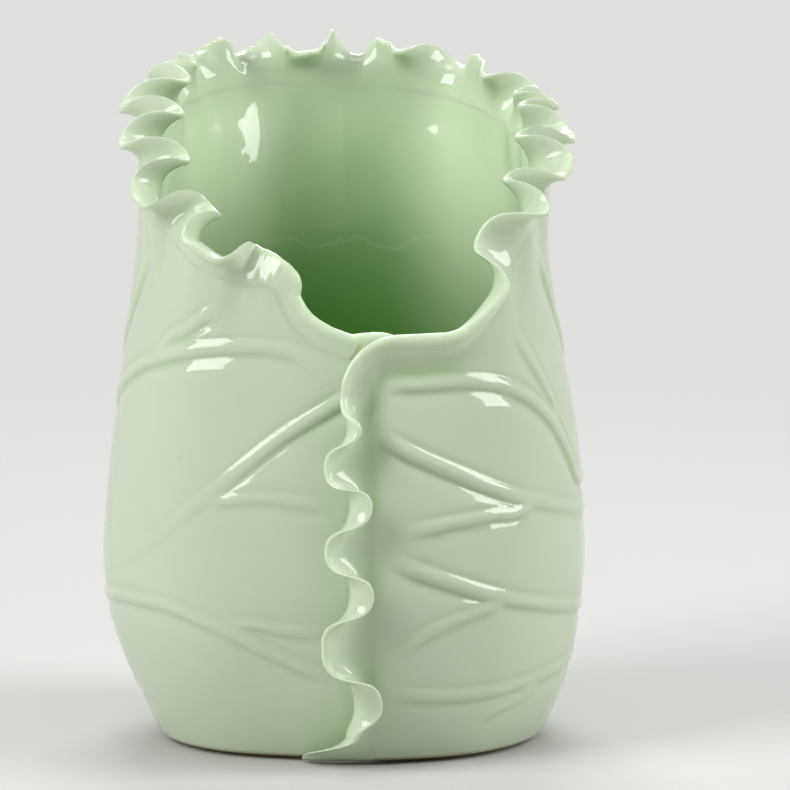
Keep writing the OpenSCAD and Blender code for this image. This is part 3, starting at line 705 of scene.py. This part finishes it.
# along the lap and the back the fluting's folds melt into the wall
stripAngle = np.concatenate([np.full(len(seamShare), leaf["seamAngle"]), stationAngle])
innerHalf = (np.arange(len(stripShare)) > len(stripShare) // 2)[None, :, None]
backShare = within(stripAngle, fluting["backStart"], fluting["backEnd"], fluting["backFade"])
melt = np.where(onLap, fluting["lapMelt"], backShare)
keep = 1 - melt[:, None, None] * (1 - ramp(stripShare / fluting["meltReach"]))[None, :, None]
rootNormal = np.where(innerHalf, stripNormal[:, -1:], stripNormal[:, :1])
stripNormal = unit(rootNormal * (1 - keep) + stripNormal * keep)
# at the back the glaze has filled the narrow creases under the points of the rim
filled = stripNormal.copy()
for _ in range(fluting["creaseFill"]):
    filled[1:-1] = (filled[:-2] + 2 * filled[1:-1] + filled[2:]) / 4
atBack = np.where(onLap, 0, backShare)[:, None, None]
toEdge = ramp((stripShare - fluting["creaseEnd"]) / (1 - fluting["creaseEnd"]))
atBack = atBack * innerHalf * (1 - toEdge)[None, :, None]
stripNormal = unit(filled * atBack + stripNormal * (1 - atBack))
outerNormal[0, :] = stripNormal[:seamCount, 0]
innerNormal[0, :] = stripNormal[:seamCount:leaf["innerEvery"], -1]
outerNormal[:, -1] = stripNormal[seamCount - 1::fluting["split"], 0]
innerNormal[:, -1] = stripNormal[seamCount - 1::innerSplit, -1]
eased = np.exp(-((columnAngle - leaf["seamAngle"]) / fluting["cornerEase"]) ** 2)[:, None, None]
outerNormal = unit(outerNormal * (1 - eased) + outerNormal[:1] * eased)


def onSide(a):
    # 0 at the back of the well, 1 at its sides
    left = ramp((a - well["leftSide"]) / well["leftFade"])
    return np.where(a > 180, left, ramp((well["rightSide"] - a) / well["rightFade"]))


def rimThinAndLit(a):
    # the upper wall inside is paler, partly thin glaze and partly painted light, most at the sides
    return well["thin"] * (well["backThin"] + (1 - well["backThin"]) * onSide(a))


# How the glaze ran: shares of thin and pooled glaze, and places in degrees or mm. Beside the lap and below
# the lip the pooling is partly painted shade.
flow = {
    "crestThin": 0.1, "crestPool": -0.1, "groovePool": 0.55, "edgeThin": 0.4, "lobeThin": 0.22,
    "poolAt": 7.3, "poolSpread": 2.4, "poolAndShadeBesideLap": 0.95, "poolAndShadeBelowLip": 0.65,
    "evenShare": 0.5, "upperShare": 0.45, "upperStart": 50, "upperFade": 10, "dripShare": 0.12, "poolTop": 3,
    "rootReach": 0.7, "edgeStart": 0.8, "lobeReach": 0.6,       # shares of the strip's width
    "footLine": 0.35, "footSoft": 0.3,
    # the painted shade in the crevice by the lap
    "creviceAt": 362.3, "creviceSlant": 4, "creviceWidth": 0.7, "creviceShare": 0.6,
    "creviceEnd": 0.65, "creviceFade": 0.25,
}


def lapPoolAndShade(a, z):
    # where the glaze gathers beside the lap's fluting and below the lip; the darker green there is partly
    # pooled glaze and partly painted shade of the fold
    beside = np.exp(-((a - flow["poolAt"]) / flow["poolSpread"]) ** 2)
    beside = beside * ramp((z - softForms["valleyFoot"]) / softForms["valleyRise"])
    beside = beside * ramp((rimHeight(a) - z + flow["poolTop"]) / softForms["valleyTop"])
    upper = ramp((z - flow["upperStart"]) / flow["upperFade"])
    uneven = flow["evenShare"] + flow["upperShare"] * upper + flow["dripShare"] * sine(19 * z + 110)
    return flow["poolAndShadeBesideLap"] * beside * uneven + flow["poolAndShadeBelowLip"] * underLip(a, z)


# Glaze map: red is thin glaze, on the well's upper sides partly painted light; green is pooled glaze,
# beside the lap partly painted shade; blue is depth in the well, whose deeper green is partly painted shade;
# alpha is bare clay, and in the crevice by the lap painted shade.
outerMap = np.zeros((*outer.shape[:2], 4))
outerMap[..., 0] = flow["crestThin"] * crest
# pooled glaze in the grooves, and beside the lap and below the lip partly painted shade of the fold
poolAndShade = flow["groovePool"] * groove + flow["crestPool"] * crest + lapPoolAndShade(angleGrid, heightGrid)
outerMap[..., 1] = np.clip(poolAndShade, 0, 1)
outerMap[..., 3] = 1 - ramp((heightGrid - leaf["footGap"] - flow["footLine"]) / flow["footSoft"])
innerMap = np.zeros((*inner.shape[:2], 4))
# paler upper sides, partly thin glaze and partly painted light; below them the deeper green, partly painted
# shade
innerMap[..., 0] = rimThinAndLit(a) * (1 - ramp(depth / well["thinDepth"]))
paler = well["litSideShare"] * onSide(a) * (1 - ramp((depth - well["sideDepth"]) / well["sideFade"]))
deepest = 1 - well["floorPale"] * ramp((depth - well["floorStart"]) / well["floorFade"])
innerMap[..., 2] = np.clip(well["rimShare"] + depth / well["fullDepth"], 0, 1) * (1 - paler) * deepest
stripMap = np.zeros((*strip.shape[:2], 4))
rootFade = (1 - ramp(stripShare / flow["rootReach"]))[None, :]
# the strip's root inside takes the well's paler sides and deeper green, partly painted light and shade
rootThinAndLit = np.where(innerHalf[..., 0], rimThinAndLit(stripAngle)[:, None], 0)
edgeThin = flow["edgeThin"] * ramp((stripShare - flow["edgeStart"]) / (1 - flow["edgeStart"]))
edgeThin = edgeThin + flow["lobeThin"] * ramp(stripShare / flow["lobeReach"])
stripMap[..., 0] = rootThinAndLit * rootFade + edgeThin[None, :]
rootWellGreenAndShade = well["rimShare"] * (1 - well["litSideShare"] * onSide(stripAngle))
stripMap[..., 2] = np.where(innerHalf[..., 0], rootWellGreenAndShade[:, None], 0) * rootFade
# the strip's root outside takes the same pooling, with its painted shade
rootPool = np.concatenate([outerMap[0, :-1, 1], between(outerMap[:, -1, 1:2], fluting["split"])[:, 0]])
stripMap[..., 1] = np.where(innerHalf[..., 0], 0, rootPool[:, None]) * rootFade
# painted shade in the crevice where the lap lies on the lip, in the tan of bare clay
offCrevice = stripAngle[:, None] - flow["creviceAt"] - flow["creviceSlant"] * stripShare
creviceShade = flow["creviceShare"] * np.exp(-(offCrevice / flow["creviceWidth"]) ** 2)
creviceShade = creviceShade * (1 - ramp((stripShare - flow["creviceEnd"]) / flow["creviceFade"]))
stripMap[..., 3] = np.where(innerHalf[..., 0], 0, creviceShade)

wallPoints = np.vstack([outer.reshape(-1, 3), inner.reshape(-1, 3)])
wallNormals = np.vstack([outerNormal.reshape(-1, 3), innerNormal.reshape(-1, 3)])
wallMap = np.vstack([outerMap.reshape(-1, 4), innerMap.reshape(-1, 4)])
wallMesh = wallFaces(*outer.shape[:2], *inner.shape[:2], wallNormals)
leafWall = makePiece("leafWall", wallPoints, wallMesh, wallNormals, wallMap, celadon)
veinNodes = [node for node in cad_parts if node.startswith(("vein_", "fork_"))]
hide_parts("leaf_wall", *veinNodes)


def stripFaces(n, m):
    g = np.arange(n * m).reshape(n, m)
    loop = np.hstack([g, g[:, :1]])
    faces = np.stack([loop[:-1, :-1], loop[1:, :-1], loop[1:, 1:], loop[:-1, 1:]], -1).reshape(-1, 4).tolist()
    return faces + [g[0].tolist(), g[-1, ::-1].tolist()]


for name, node, part in (("lapFluting", "seam_frill", slice(0, seamCount)),
                         ("rimFluting", "rim_frill", slice(seamCount - 1, None))):
    grid = strip[part]
    piece = makePiece(name, grid.reshape(-1, 3), stripFaces(*grid.shape[:2]),
                      stripNormal[part].reshape(-1, 3), stripMap[part].reshape(-1, 4), celadon)
    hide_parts(node)
print("leaf and fluting made")

# The base disc: bare and hardly hollowed below, glazed above with a pool of glaze round its edge
base = {
    "edgeRound": 0.5, "hollow": 0.4, "ring": 8, "ringFade": 2, "bury": 0.8, "buryRise": 0.4,
    "pool": 2.4, "poolSteps": 8, "sag": 0.002, "spokes": 240,
    "underRings": (40, 30), "floorRings": (6, 12, 20, 30, 40),      # distances in from the edge
    # the glazed floor of the well takes part of its deeper green, partly painted shade
    "tint": 0.45,       # share of the well's deeper green
}


def baseDisc():
    a = leaf["lapEnd"] - 360 + 360 * np.arange(base["spokes"]) / base["spokes"]
    a = np.where(a < leaf["seamAngle"] + leaf["lapOver"], a + 360, a)
    low = np.full_like(a, leaf["footGap"])
    edge = leafRadius(a, low) - leaf["wall"]
    rings, maps, slots = [], [], []

    def ring(inset, z, depth, slot):
        rings.append(place(a, np.maximum(edge - inset, 0.01), np.full_like(a, z)))
        maps.append(depth)
        slots.append(slot)

    for inset in (*base["underRings"], base["ring"] + base["ringFade"]):
        ring(inset, base["hollow"], 0, 0)
    rounded = 0.3 * base["edgeRound"]
    for inset, z in ((base["ring"], 0), (base["edgeRound"], 0), (rounded, rounded), (0, base["edgeRound"])):
        ring(inset, z, 0, 0)
    ring(-base["bury"], base["edgeRound"] + base["buryRise"], 0, 0)
    for k in range(base["poolSteps"] + 1):
        turn = 90 * k / base["poolSteps"]
        inset = base["pool"] * (1 - math.cos(math.radians(turn))) - base["bury"]
        ring(inset, leaf["baseThick"] + base["pool"] * (1 - math.sin(math.radians(turn))), base["tint"], 1)
    for inset in base["floorRings"]:
        ring(inset, leaf["baseThick"] - base["sag"] * inset, base["tint"], 1)
    n, m = len(a), len(rings)
    grid = np.stack(rings, 0)
    index = np.arange(n * m).reshape(m, n)
    turned = np.roll(index, -1, axis=1)
    faces = np.stack([index[:-1], index[1:], turned[1:], turned[:-1]], -1).reshape(-1, 4).tolist()
    glazeMap = np.zeros((m, n, 4))
    glazeMap[..., 2] = np.array(maps)[:, None]
    piece = makePiece("baseDisc", grid.reshape(-1, 3), faces + [index[0].tolist(), index[-1, ::-1].tolist()],
                      None, glazeMap.reshape(-1, 4), bisque)
    piece.data.materials.append(celadon)
    faceSlot = np.repeat(np.array(slots[1:]), n).tolist() + [0, 1]
    piece.data.polygons.foreach_set("material_index", faceSlot)
    return piece


disc = baseDisc()
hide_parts("base_disc")
print("base disc made")

# Pale floor. Near the pot it takes the shadow, and further out it is an even pale paper.
studio = {
    "floor": "#cbcbc9", "paper": "#e0e0de", "sides": 64,
    "radius": 6.0, "clearFrom": 0.22, "clearTo": 0.6,       # metres
    "fibreSize": 1.11, "fibreHeight": 0.1, "roughness": 0.9,
}


def studioFloor():
    mesh = bpy.data.meshes.new("studioFloor")
    turn = np.arange(studio["sides"]) * 2 * math.pi / studio["sides"]
    rim = np.stack([np.cos(turn), np.sin(turn), 0 * turn], -1) * studio["radius"]
    mesh.from_pydata(rim.tolist(), [], [list(range(len(rim)))])
    material, tree = newMaterial("paperBackdropMatte")
    spot = addNode(tree, "ShaderNodeTexCoord").outputs["Object"]
    fibre = addNode(tree, "ShaderNodeTexNoise", inputs={
        "Vector": spot, "Scale": 1 / (studio["fibreSize"] * millimetre), "Detail": 2.0})
    bump = addNode(tree, "ShaderNodeBump", inputs={
        "Height": fibre.outputs["Fac"], "Strength": 0.1, "Distance": studio["fibreHeight"] * millimetre})
    shader = addNode(tree, "ShaderNodeBsdfPrincipled", inputs={
        "Base Color": hexLinear(studio["floor"]), "Roughness": studio["roughness"],
        "Normal": bump.outputs["Normal"]})
    paper = addNode(tree, "ShaderNodeEmission", inputs={"Color": hexLinear(studio["paper"])})
    away = addNode(tree, "ShaderNodeVectorMath", {"operation": "LENGTH"}, {0: spot})
    clear = addNode(tree, "ShaderNodeMapRange", {"interpolation_type": "SMOOTHSTEP"}, {
        "Value": away.outputs["Value"], "From Min": studio["clearFrom"], "From Max": studio["clearTo"]})
    share = addNode(tree, "ShaderNodeMath", {"operation": "MULTIPLY"}, {
        0: clear.outputs[0], 1: seenDirectly(tree)})
    both = addNode(tree, "ShaderNodeMixShader", inputs={
        0: share.outputs[0], 1: shader.outputs[0], 2: paper.outputs[0]})
    addNode(tree, "ShaderNodeOutputMaterial", inputs={"Surface": both.outputs[0]})
    mesh.materials.append(material)
    floor = bpy.data.objects.new("studioFloor", mesh)
    scene.collection.objects.link(floor)


studioFloor()

# Two softboxes in front, one above, one behind and a little room light.
# Angle is from the front towards the right, distance and size are in metres.
lights = {
    "leftBox": {"angle": -58, "rise": 31, "distance": 1.5, "size": (0.8, 0.9), "watts": 16.0},
    "rightBox": {"angle": 80, "rise": 31, "distance": 1.5, "size": (0.7, 0.9), "watts": 13.4},
    "topBox": {"angle": 0, "rise": 85, "distance": 1.6, "size": (0.9, 0.7), "watts": 6.5},
    "backBox": {"angle": 180, "rise": 42, "distance": 1.6, "size": (0.8, 0.5), "watts": 12},
}
room = {"colour": "#f2f4f5", "strength": 0.16, "paper": "#e0e0de"}
target = np.array([0.0, 0.0, 0.07])
for name, box in lights.items():
    lamp = bpy.data.lights.new(name, "AREA")
    lamp.shape = "RECTANGLE"
    lamp.size, lamp.size_y = box["size"]
    lamp.energy = box["watts"]
    rise, turn = math.radians(box["rise"]), math.radians(box["angle"])
    away = np.array([math.cos(rise) * math.sin(turn), -math.cos(rise) * math.cos(turn), math.sin(rise)])
    holder = bpy.data.objects.new(name, lamp)
    holder.location = target + box["distance"] * away
    holder.rotation_euler = (math.pi / 2 - rise, 0, turn)
    scene.collection.objects.link(holder)

world = bpy.data.worlds.new("studioRoom")
world.use_nodes = True
tree = world.node_tree
tree.nodes.clear()
sky = addNode(tree, "ShaderNodeBackground", inputs={
    "Color": hexLinear(room["colour"]), "Strength": room["strength"]})
paper = addNode(tree, "ShaderNodeBackground", inputs={"Color": hexLinear(room["paper"]), "Strength": 1.0})
both = addNode(tree, "ShaderNodeMixShader", inputs={
    0: seenDirectly(tree), 1: sky.outputs[0], 2: paper.outputs[0]})
addNode(tree, "ShaderNodeOutputWorld", inputs={"Surface": both.outputs[0]})
scene.world = world

# Long lens a little above the rim, at the photograph's angle
view = {"from": (0.0103, -1.3, 0.245), "at": (0.0103, 0.0, 0.069), "lens": 295.3}
camera = bpy.data.objects.new("camera", bpy.data.cameras.new("camera"))
camera.data.lens = view["lens"]
camera.data.sensor_width = 36
camera.data.clip_end = 20
camera.location = view["from"]
fall = math.atan2(view["from"][2] - view["at"][2], view["at"][1] - view["from"][1])
camera.rotation_euler = (math.pi / 2 - fall, 0, 0)
scene.collection.objects.link(camera)
scene.camera = camera
scene.view_settings.view_transform = "Standard"
print("studio set")
